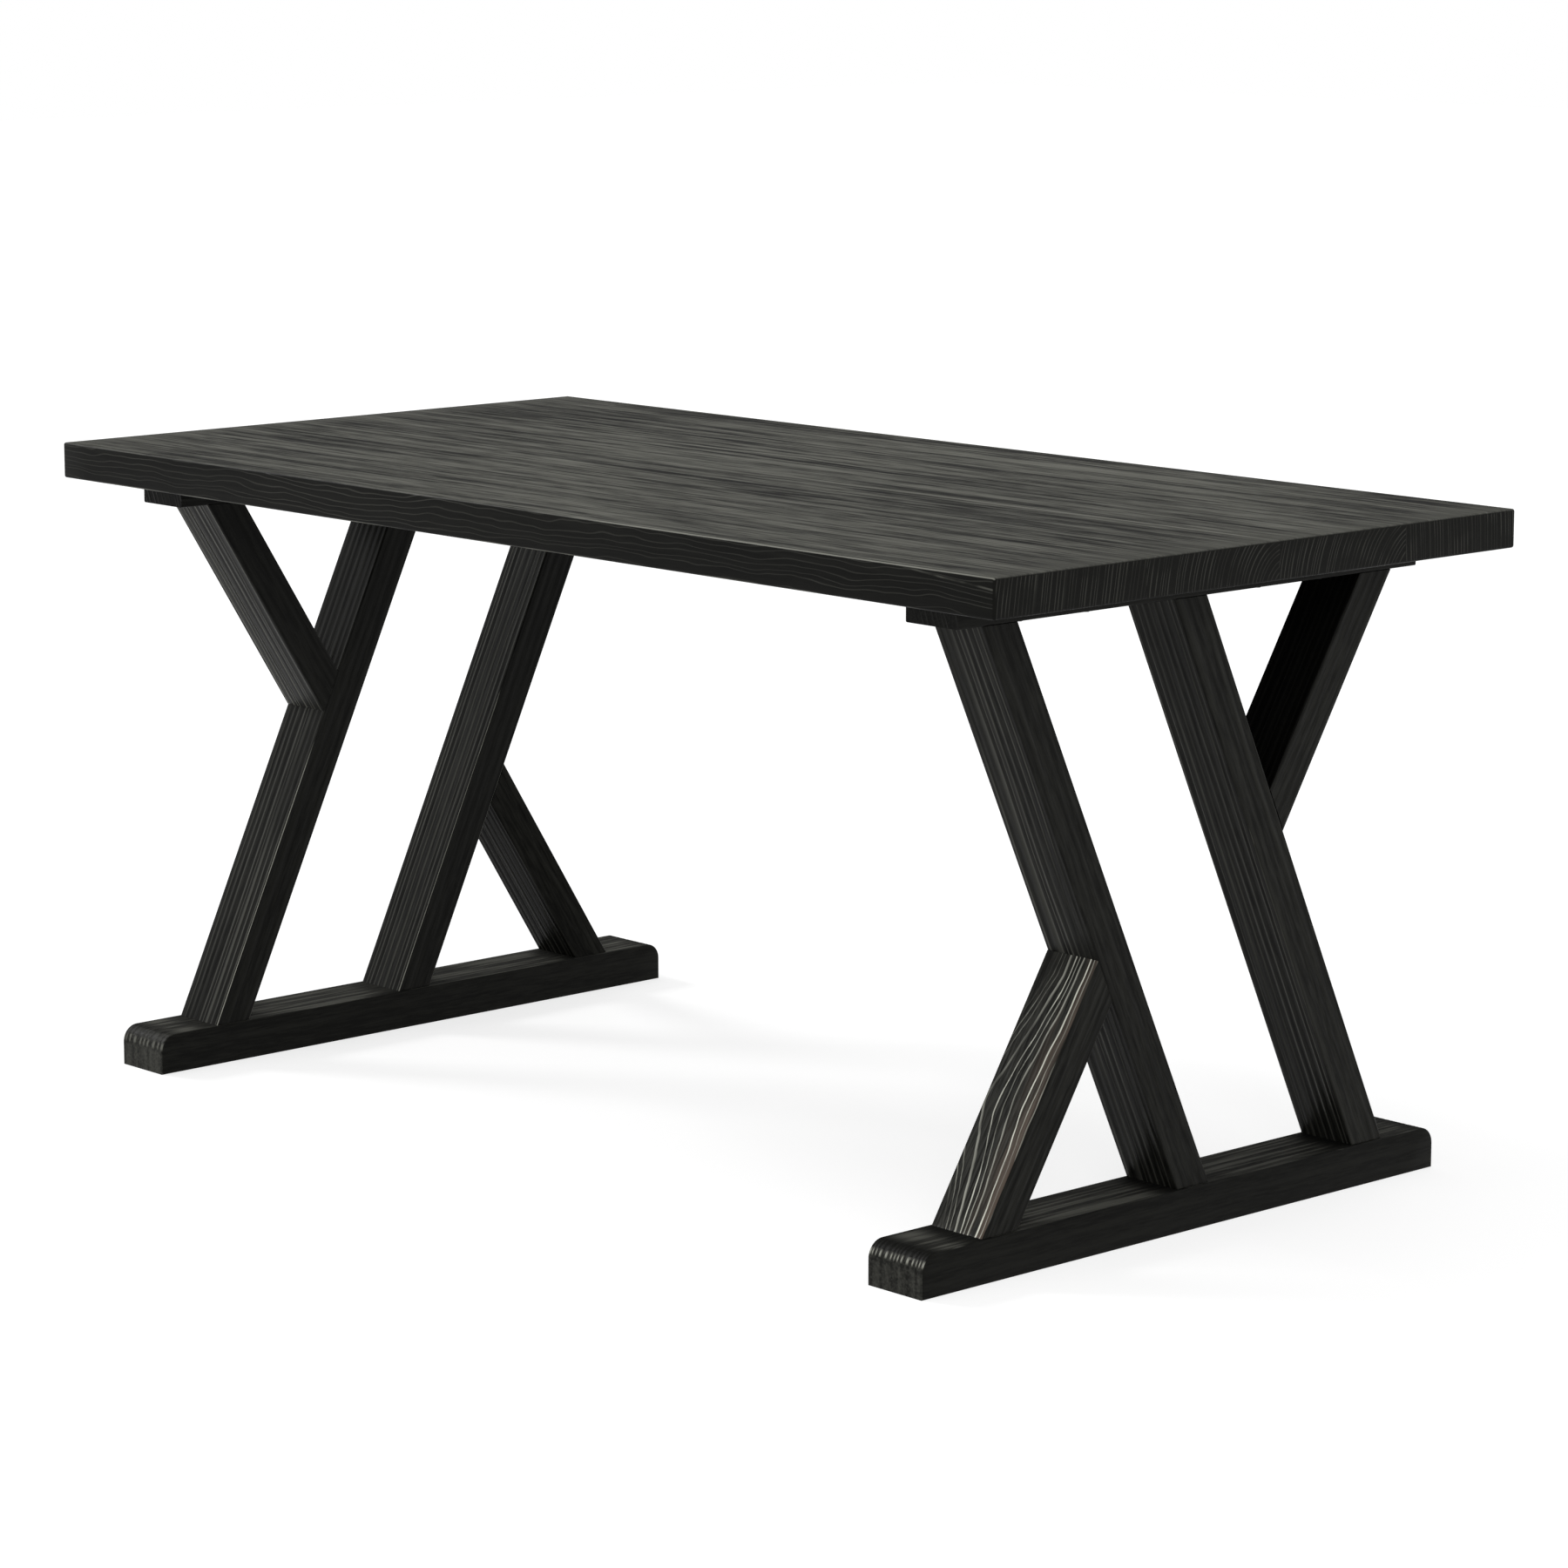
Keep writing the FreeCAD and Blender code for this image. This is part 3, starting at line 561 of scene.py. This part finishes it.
def ridge_lines(tree, grain):
    """The same raised lines for the stain: rubbed pale on top, fading here and there."""
    across, thickness, along = split(tree, grain)
    u = calc(tree, "DIVIDE", calc(tree, "SUBTRACT", across, ridge_side), timber_width)
    v = calc(tree, "DIVIDE", calc(tree, "SUBTRACT", along, ridge_base), ridge_run)
    tent = calc(tree, "DIVIDE", calc(tree, "SUBTRACT", v, bow_middle), bow_reach)
    tent = calc(tree, "SQRT", calc(tree, "MULTIPLY_ADD", tent, tent, bow_bluntness))
    bow = calc(tree, "MAXIMUM", calc(tree, "SUBTRACT", bow_peak, tent), 0.0)
    sweep = calc(tree, "MULTIPLY_ADD", calc(tree, "MULTIPLY_ADD", u, bow_sweep[2], bow_sweep[1]), u, bow_sweep[0])
    ring = calc(tree, "MULTIPLY_ADD", bow, sweep, u)
    for height, turns, skew in ridge_waves:
        wave = calc(tree, "SINE", calc(tree, "MULTIPLY_ADD", v, turns, calc(tree, "MULTIPLY", u, skew)))
        ring = calc(tree, "MULTIPLY_ADD", wave, height, ring)
    ring = calc(tree, "ADD", ring, ripple(tree, ring, ridge_warp_turns, ridge_warp))
    narrowing = calc(tree, "MULTIPLY_ADD", u, bow_narrowing[1], bow_narrowing[0])
    spread = calc(tree, "SUBTRACT", 1.0, calc(tree, "MULTIPLY", bow, narrowing))
    off = calc(tree, "FRACT", calc(tree, "MULTIPLY_ADD", ring, 1 / ridge_gap, ridge_phase))
    off = calc(tree, "ABSOLUTE", calc(tree, "SUBTRACT", off, 0.5))
    off = calc(tree, "DIVIDE", calc(tree, "MULTIPLY", off, ridge_gap), spread)
    patchy = ease(tree, noise(tree, grain, (60, 60, 9), 2), 0.3, 0.6)
    fade = calc(tree, "MULTIPLY_ADD", patchy, 0.75, 0.25)
    fade = calc(tree, "MULTIPLY", fade, calc(tree, "MULTIPLY_ADD", u, 0.5, 0.55))
    fade = calc(tree, "MULTIPLY", fade, ease(tree, ring, 0.12, 0.45))
    strong = ease(tree, ripple(tree, ring, ridge_strength_turns, 1.0), -1.5, 0.6)
    fade = calc(tree, "MULTIPLY", fade, strong)
    return calc(tree, "MULTIPLY", ease(tree, off, ridge_half, ridge_half * 0.4), fade)


def rubbed_side(tree, grain):
    """Where the stain is rubbed back to brown, along the right-hand half of that face."""
    across = split(tree, grain)[0]
    near = ease(tree, across, ridge_side + timber_width / 2, ridge_side + timber_width)
    patchy = ease(tree, noise(tree, grain, (70, 70, 9), 2), 0.35, 0.65)
    return calc(tree, "MULTIPLY", calc(tree, "MULTIPLY", near, patchy), 0.7)


brace_tones = {
    "left_upper_brace": dict(offset=(0.15, 0.22, 0.31), face=31, side=26, line=3.6, evenness=0.5),
    "left_lower_brace": dict(offset=(0.82, 0.55, 0.13), face=21, side=30, line=3.0, evenness=0.6, shine=0.015),
    # The right upper brace's wide faces are painted near black: painted shade under the top.
    "right_upper_brace": dict(offset=(0.46, 0.79, 0.97), face=10, side=32),
    "right_lower_brace": dict(offset=(0, 0, 0), face=42, side=31, line=5.6, relief=0.0002, ridges=ridge_lines,
                              rubbed=rubbed_side, bare=thin_stain),
}
for name, tones in brace_tones.items():
    low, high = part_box(name)
    upper = "upper" in name
    hand = 1 if name.startswith("left") else -1
    grain = Vector((0, -hand * sin(brace_lean), cos(brace_lean)))
    thickness = grain.cross(across_trestle)
    seat = cleat_under if upper else foot_top
    outer = low.y if (upper == (hand > 0)) else high.y
    inward = 1 if outer == low.y else -1
    seat_middle = Vector(((low.x + high.x) / 2, outer + inward * brace_seat / 2, seat))
    rough_size = (timber_width, brace_depth, rough_length)
    brace = start_timber(name + "_timber", seat_middle, rough_size, hand * brace_lean)
    saw_off(level, seat, keep_below=upper)
    leg_low, leg_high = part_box(name.split("_")[0] + ("_front_leg" if inward > 0 else "_rear_leg"))
    leg_face = Vector((0, -inward * cos(leg_lean), inward * hand * sin(leg_lean)))
    leg_foot = Vector((0, leg_low.y if hand > 0 else leg_high.y, foot_top))
    leg_head = Vector((0, leg_high.y if hand > 0 else leg_low.y, cleat_under))
    on_face = leg_foot if leg_face.dot(leg_foot) > leg_face.dot(leg_head) else leg_head
    saw_off(leg_face, leg_face.dot(on_face), keep_below=False)
    if name == "right_lower_brace":
        ease_and_brush(brace, seat_middle, brace_depth, grain, 0, fine=0.0009, coarse=0.003)
        front_face = seat_middle.dot(thickness) - brace_depth / 2
        press_hollows(brace, ridge_height, lambda place: (
            1 - ridge_share(place.x, place.dot(grain)) if place.dot(thickness) < front_face + hair else 0))
    else:
        ease_and_brush(brace, seat_middle, brace_depth, grain, tones["offset"][0])
    stain = stain_timber(name + "_stain", -hand * brace_lean, **tones)
    fit_timber(brace, name, stain)


# Slip tenons
# Loose beech blocks glued half into a brace's bevelled end and half into the leg. They can't be seen once
# the trestle is together.


def plane_beech(name, offset):
    """Raw planed beech: pale and even, with short darker flecks along the grain."""
    beech, tree, shader = start_finish(name)
    place = add_node(tree, "TexCoord", {}).outputs["Object"]
    grain = add_node(tree, "Mapping", {"Vector": place, "Location": offset}).outputs[0]
    flecks = ease(tree, noise(tree, grain, (60, 900, 900), 1), 0.6, 0.72)
    bands = noise(tree, grain, (4, 120, 120), 2)
    colour = blend_colours(tree, bands, (0.48, 0.33, 0.20, 1), (0.62, 0.46, 0.30, 1))
    colour = blend_colours(tree, calc(tree, "MULTIPLY", flecks, 0.5), colour, (0.30, 0.18, 0.09, 1))
    feed(tree, shader.inputs["Base Color"], colour)
    feed(tree, shader.inputs["Roughness"], calc(tree, "MULTIPLY_ADD", bands, 0.2, 0.55))
    raise_grain(tree, shader, flecks, 0.0001)
    return beech


def finish_node(name, finish):
    """Gives a piece that keeps its CAD shape its finish."""
    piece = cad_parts[name]
    piece.data.materials.clear()
    piece.data.materials.append(finish)


finish_node("brace_slip_tenons", plane_beech("slip_tenon_beech", (0.1, 0.3, 0.2)))


# Cleats
# A flat pine batten across the top of each trestle, brushed and stained as the legs are. The legs are tenoned
# into its underside, and bolts pass up through its slots into the tabletop.

cleat_tones = {
    "left": dict(offset=(0.29, 0.83, 0.61), face=14, side=24),
    "right": dict(offset=(0.65, 0.18, 0.44), face=25, side=27),
}
for side, tones in cleat_tones.items():
    stain = stain_timber(side + "_cleat_stain", radians(-90), spacing=0.008, line=1.5, **tones)
    finish_node(side + "_cleat", stain)


# Tabletop
# Four pine boards edge-glued into one slab, planed flush, brushed and stained. The upper face is a paler charcoal
# and the edges nearly black, partly in the stain and partly as painted light on top and painted shade on the edges,
# and each board's end shows the rings of the tree it came from.

top_arris = 0.003
joint_arris = 0.0004
board_ridge_pitch = 0.0075
board_ridge_depth = 0.00022
board_ridge_unevenness = 6.0
along_board = Vector((1, 0, 0))
across_board = Vector((0, 1, 0))
top_front, top_back = cad_box[0][1], cad_box[1][1]
check_slope, check_height = 0.067, 0.798


def make_grain_line():
    """One long mark in the grain at a set place across the board, between two places along it."""
    group, given, result = start_group(
        "grain_line",
        {"Along": "Float", "Across": "Float", "Place": "Float", "Start": "Float", "End": "Float",
         "Width": "Float", "Sway": "Float"},
        ("Mark",))
    taper = 0.14
    seed = calc(group, "MULTIPLY", given["Place"], 97)
    reach = calc(group, "MULTIPLY_ADD", given["Along"], 4.5, seed)
    sway = add_node(group, "TexNoise", {"W": reach, "Scale": 1.0, "Detail": 1.5}, noise_dimensions="1D")
    sway = calc(group, "MULTIPLY", calc(group, "SUBTRACT", sway.outputs["Fac"], 0.5), given["Sway"])
    off = calc(group, "SUBTRACT", calc(group, "SUBTRACT", given["Across"], given["Place"]), sway)
    thin = calc(group, "MULTIPLY", given["Width"], 0.2)
    near = ease(group, calc(group, "ABSOLUTE", off), given["Width"], thin)
    begin = ease(group, given["Along"], given["Start"], calc(group, "ADD", given["Start"], taper))
    stop = ease(group, given["Along"], given["End"], calc(group, "SUBTRACT", given["End"], taper))
    feed(group, result["Mark"], calc(group, "MULTIPLY", near, calc(group, "MULTIPLY", begin, stop)))
    return group


grain_line = make_grain_line()


def mix_values(tree, factor, first, second):
    return add_node(tree, "Mix", {0: factor, 2: first, 3: second}, data_type="FLOAT").outputs[0]


def board_tone(tree, grain, along, across, figure, marks):
    """How pale the stain is, from 0 to 1: fibres, streaks and bands, partly painted sheen, and each board's own
    marks.
    """
    bands = noise(tree, grain, (90, 90, 8), 4, 0.68)
    threads = noise(tree, grain, (130, 130, 2.6), 2, 0.6)
    flecks = noise(tree, grain, (260, 260, 14), 2, 0.6)
    # Long soft bands along the boards: partly tone, partly painted sheen.
    broad_bands_and_sheen = noise(tree, grain, (38, 38, 0.8), 1)
    parts = [
        (figure["Fibre"], 0.6), (figure["Streak"], 0.5), (figure["Patch"], 0.8), (bands, 1.4),
        (ease(tree, threads, 0.52, 0.66), 0.26), (ease(tree, threads, 0.48, 0.34), -0.3),
        (flecks, 0.8), (broad_bands_and_sheen, 0.4), (figure["Lines"], 0.2)]
    for place, start, end, width, sway, amount in marks:
        mark = place_group(tree, grain_line, Along=along, Across=across, Place=place, Start=start, End=end,
                           Width=width, Sway=sway)["Mark"]
        parts.append((mark, amount))
    parts.append((ease(tree, along, -0.3, -0.8), -0.13))
    parts.append((ease(tree, along, 0.35, 0.75), -0.04))
    tone = ease(tree, weigh(tree, *parts), 1.73, 2.88)
    near_end = ease(tree, calc(tree, "ABSOLUTE", along), 0.72, 0.8)
    return mix_values(tree, calc(tree, "MULTIPLY", near_end, 0.6), tone, 0.55)


def front_check(tree, grain, along, height, sides):
    """A fine broken check that runs out of the front edge near its right end."""
    fallen = calc(tree, "MULTIPLY_ADD", along, check_slope, height)
    check = place_group(tree, grain_line, Along=along, Across=fallen, Place=check_height, Start=0.54, End=1.0,
                        Width=0.0016, Sway=0.007)["Mark"]
    on_front = ease(tree, sides[1], -0.9, -0.99)
    broken = ease(tree, noise(tree, grain, (40, 40, 26), 2), 0.35, 0.6)
    return calc(tree, "MULTIPLY", calc(tree, "MULTIPLY", check, on_front), broken)


def board_wear_and_highlight(tree, grain, along, normal, sides):
    """Wear and painted highlights on the long arrises only, more towards the right end and some underneath."""
    under = ease(tree, sides[2], 0.0, -0.3)
    amount = mix_values(tree, under, ease(tree, along, -0.3, 0.8), 0.4)
    worn_and_lit = place_group(tree, arris_wear_and_highlight, Normal=normal, Vector=grain, Amount=amount)["Wear and highlight"]
    worn_and_lit = calc(tree, "MULTIPLY", worn_and_lit, ease(tree, calc(tree, "ABSOLUTE", sides[1]), 0.25, 0.5))
    return calc(tree, "MULTIPLY", worn_and_lit, ease(tree, calc(tree, "ABSOLUTE", sides[2]), 0.15, 0.4))


def stain_board(name, pith, offset, marks):
    """Black stain on a board whose growth rings are centred on its pith, a place across it and a height."""
    stain, tree, shader = start_finish(name)
    place = add_node(tree, "TexCoord", {}).outputs["Object"]
    along, across, height = split(tree, place)
    grain = add_node(tree, "CombineXYZ", {0: across, 1: height, 2: along}).outputs[0]
    grain = add_node(tree, "VectorMath", {0: grain, 1: offset}, operation="ADD").outputs[0]
    normal = add_node(tree, "NewGeometry", {}).outputs["Normal"]
    sides = split(tree, normal)
    on_edge = ease(tree, calc(tree, "ABSOLUTE", sides[1]), 0.5, 0.8)
    section = add_node(tree, "CombineXYZ", {0: across, 1: height}).outputs[0]
    round_pith = add_node(tree, "VectorMath", {0: section, 1: (*pith, 0)}, operation="DISTANCE").outputs["Value"]
    leftward = ease(tree, along, 0.9, -0.9)
    swoops = calc(tree, "MULTIPLY_ADD", noise(tree, grain, (22, 22, 8.5), 2), 0.024, height)
    figure = place_group(
        tree, pine_figure, Vector=grain,
        Ring=mix_values(tree, on_edge, round_pith, swoops),
        Spacing=mix_values(tree, on_edge, 0.0056, 0.0070),
        Wander=mix_values(tree, on_edge, 0.006, calc(tree, "MULTIPLY_ADD", leftward, 0.03, 0.008)),
        Onset=mix_values(tree, on_edge, 0.62, 0.75), Evenness=mix_values(tree, on_edge, 0.35, 0.65))
    tone = board_tone(tree, grain, along, across, figure, marks)
    # Painted light and shade: the upper face is painted paler and the edges darker than their stain alone.
    rubbed = blend_colours(tree, tone, grey(10), grey(102))
    dark = blend_colours(tree, tone, grey(15), grey(26))
    edge_strength = calc(tree, "MULTIPLY_ADD", leftward, 0.15, 0.62)
    drawn = calc(tree, "MULTIPLY", figure["Lines"], mix_values(tree, on_edge, 0.7, edge_strength))
    flat = calc(tree, "MAXIMUM", calc(tree, "ABSOLUTE", sides[0]), calc(tree, "ABSOLUTE", sides[1]))
    drawn = calc(tree, "MULTIPLY", drawn, ease(tree, flat, 0.93, 0.995))
    dark = blend_colours(tree, drawn, dark, grey(72))
    dark = blend_colours(tree, front_check(tree, grain, along, height, sides), dark, grey(82))
    colour = blend_colours(tree, ease(tree, sides[2], 0.3, 0.8), dark, rubbed)
    # Pale grey on the arrises: wear, and painted highlights along the front and lower ones.
    colour = blend_colours(tree, board_wear_and_highlight(tree, grain, along, normal, sides), colour, grey(125))
    feed(tree, shader.inputs["Base Color"], colour)
    matt = mix_values(tree, ease(tree, sides[2], 0.9, 0.98), 0.32, 0.7)
    feed(tree, shader.inputs["Roughness"], calc(tree, "MULTIPLY_ADD", figure["Streak"], 0.2, matt))
    shader.inputs["Specular IOR Level"].default_value = 0.05
    raise_grain(tree, shader, calc(tree, "MULTIPLY_ADD", figure["Fibre"], 0.6, figure["Lines"]), 0.0002)
    return stain


# A mark has its place across the board, its start and end along it, its width and sway, and how pale it is.
board_looks = {
    "top_board_1": dict(pith=(0.60, 0.60), offset=(0.31, 0.0, 0.4), marks=[]),
    "top_board_2": dict(pith=(0.035, 0.700), offset=(0.72, 0.0, 1.3), marks=[
        (-0.118, -0.25, 0.15, 0.0040, 0.006, 0.5),
        (-0.062, -0.24, 0.20, 0.0080, 0.008, -0.4),
        (-0.035, 0.15, 0.85, 0.0380, 0.010, -0.2),
        (0.014, 0.21, 0.85, 0.0050, 0.002, 0.7)]),
    "top_board_3": dict(pith=(0.262, 0.675), offset=(1.13, 0.0, 2.7), marks=[
        (0.145, -0.35, 0.25, 0.0050, 0.022, 0.6),
        (0.133, -0.35, 0.25, 0.0060, 0.022, -0.4),
        (0.214, -0.75, -0.40, 0.0080, 0.004, -0.4)]),
    "top_board_4": dict(pith=(-0.30, 0.70), offset=(1.57, 0.0, 3.1), marks=[
        (0.320, -0.90, 0.90, 0.0220, 0.010, 0.1),
        (0.375, -0.60, 0.85, 0.0300, 0.010, -0.12)]),
}
for name, look in board_looks.items():
    low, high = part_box(name)
    centre, size = (low + high) / 2, high - low
    board = start_timber(name + "_plank", centre, size)

    def is_outer(middle, line):
        """The edges round the outside of the slab, and not those along the glued joints."""
        at_end = abs(middle.x) > high.x - hair and runs_along(line, across_board)
        return at_end or middle.y < top_front + hair or middle.y > top_back - hair

    pick_edges(board, is_outer)
    bpy.ops.mesh.bevel(offset=top_arris, segments=4, affect="EDGES")
    pick_edges(board, lambda middle, line: (
        runs_along(line, along_board) and middle.z > high.z - hair
        and min(middle.y - low.y, high.y - middle.y) < hair))
    bpy.ops.mesh.bevel(offset=joint_arris, segments=1, affect="EDGES")
    slice_timber(across_board, low.y + top_arris, high.y - top_arris, step=0.0020)
    slice_timber(along_board, low.x + top_arris, high.x - top_arris, step=0.05)
    pick_edges(board, lambda middle, line: (
        runs_along(line, across_board) and middle.z > high.z - hair / 10 and abs(middle.x) < high.x - 0.01))
    bpy.ops.object.vertex_group_add()
    bpy.ops.object.vertex_group_assign()
    upper_face = board.vertex_groups.active.name
    brush_timber(board, across_board, along_board, board_ridge_pitch, board_ridge_depth, board_ridge_unevenness,
                 look["offset"][0], upper_face)
    fit_timber(board, name, stain_board(name + "_stain", **look))


# Board splines
# Loose beech tongues glued into stopped grooves along the joints of the top, so the boards stay level.
# They can't be seen once the slab is glued up.

finish_node("top_splines", plane_beech("spline_beech", (0.7, 0.1, 0.5)))


# Fixings
# Black steel bolts and washers hold the top on the cleats and turn into brass inserts in the boards' undersides.
# The slots in the cleats let the boards swell and shrink.


def turn_metal(name, colour, dull):
    """Machined metal: fine turning marks, and dull patches where the finish has worn."""
    metal, tree, shader = start_finish(name)
    place = add_node(tree, "TexCoord", {}).outputs["Object"]
    marks = noise(tree, place, (300, 300, 2600), 2)
    cloud = noise(tree, place, (120, 120, 120), 3)
    deep = tuple(level * 0.7 for level in colour[:3]) + (1,)
    feed(tree, shader.inputs["Base Color"], blend_colours(tree, cloud, deep, colour))
    feed(tree, shader.inputs["Roughness"], calc(tree, "MULTIPLY_ADD", cloud, 0.25, dull))
    shader.inputs["Metallic"].default_value = 1
    raise_grain(tree, shader, marks, 0.00004)
    return metal


finish_node("top_bolts", turn_metal("bolt_black_oxide", (0.03, 0.03, 0.033, 1), dull=0.35))
finish_node("top_washers", turn_metal("washer_black_oxide", (0.035, 0.035, 0.037, 1), dull=0.3))
finish_node("top_inserts", turn_metal("insert_brass", (0.72, 0.53, 0.25, 1), dull=0.25))


# Floor, light and camera
# A plain white studio floor that keeps the table's soft shadow, broad lamps from the left, the front and above,
# and a camera at the photograph's viewpoint.

white = (1, 1, 1, 1)
floor_grey = (0.5, 0.5, 0.5, 1)
floor_glow = 0.7
fill_strength = 0.6


def seen_directly(tree):
    """1 for what the camera, a reflection or clear glass sees, and 0 for light that falls on the table."""
    rays = add_node(tree, "LightPath", {}).outputs
    through = calc(tree, "MAXIMUM", rays["Is Glossy Ray"], rays["Is Transmission Ray"])
    return calc(tree, "MAXIMUM", rays["Is Camera Ray"], through)


bpy.ops.object.select_all(action="DESELECT")
bpy.ops.mesh.primitive_plane_add(size=40)
floor = bpy.context.object
floor.name = "studio_floor"
paint, tree, shader = start_finish("studio_floor_white")
shader.inputs["Base Color"].default_value = floor_grey
shader.inputs["Roughness"].default_value = 1
shader.inputs["Specular IOR Level"].default_value = 0
shader.inputs["Emission Color"].default_value = white
feed(tree, shader.inputs["Emission Strength"], calc(tree, "MULTIPLY", seen_directly(tree), floor_glow))
floor.data.materials.append(paint)

studio = bpy.data.worlds.new("studio")
studio.use_nodes = True
bpy.context.scene.world = studio
tree = studio.node_tree
fill = tree.nodes["Background"]
fill.inputs["Color"].default_value = white
strength = calc(tree, "MULTIPLY_ADD", seen_directly(tree), 1 - fill_strength, fill_strength)
feed(tree, fill.inputs["Strength"], strength)

lamps = {
    "left_lamp": ((-0.79, -0.22, 0.56), 1.0, 14),
    "front_lamp": ((0.67, -0.61, 0.39), 0.4, 14),
    "overhead_lamp": ((0.1, -0.3, 0.95), 0.2, 60),
}
for name, (direction, strength, spread) in lamps.items():
    lamp = bpy.data.lights.new(name, "SUN")
    lamp.energy = strength
    lamp.angle = radians(spread)
    holder = bpy.data.objects.new(name, lamp)
    holder.rotation_mode = "QUATERNION"
    holder.rotation_quaternion = Vector(direction).to_track_quat("Z", "Y")
    bpy.context.scene.collection.objects.link(holder)

lens = bpy.data.cameras.new("viewpoint")
lens.sensor_width = 36
lens.sensor_fit = "HORIZONTAL"
lens.lens = 115.66
camera = bpy.data.objects.new("viewpoint", lens)
camera.location = (4.2766, -3.8682, 1.4485)
camera.rotation_euler = (radians(90 - 10.364), 0, radians(47.481))
bpy.context.scene.collection.objects.link(camera)
bpy.context.scene.camera = camera
bpy.context.scene.view_settings.view_transform = "Standard"
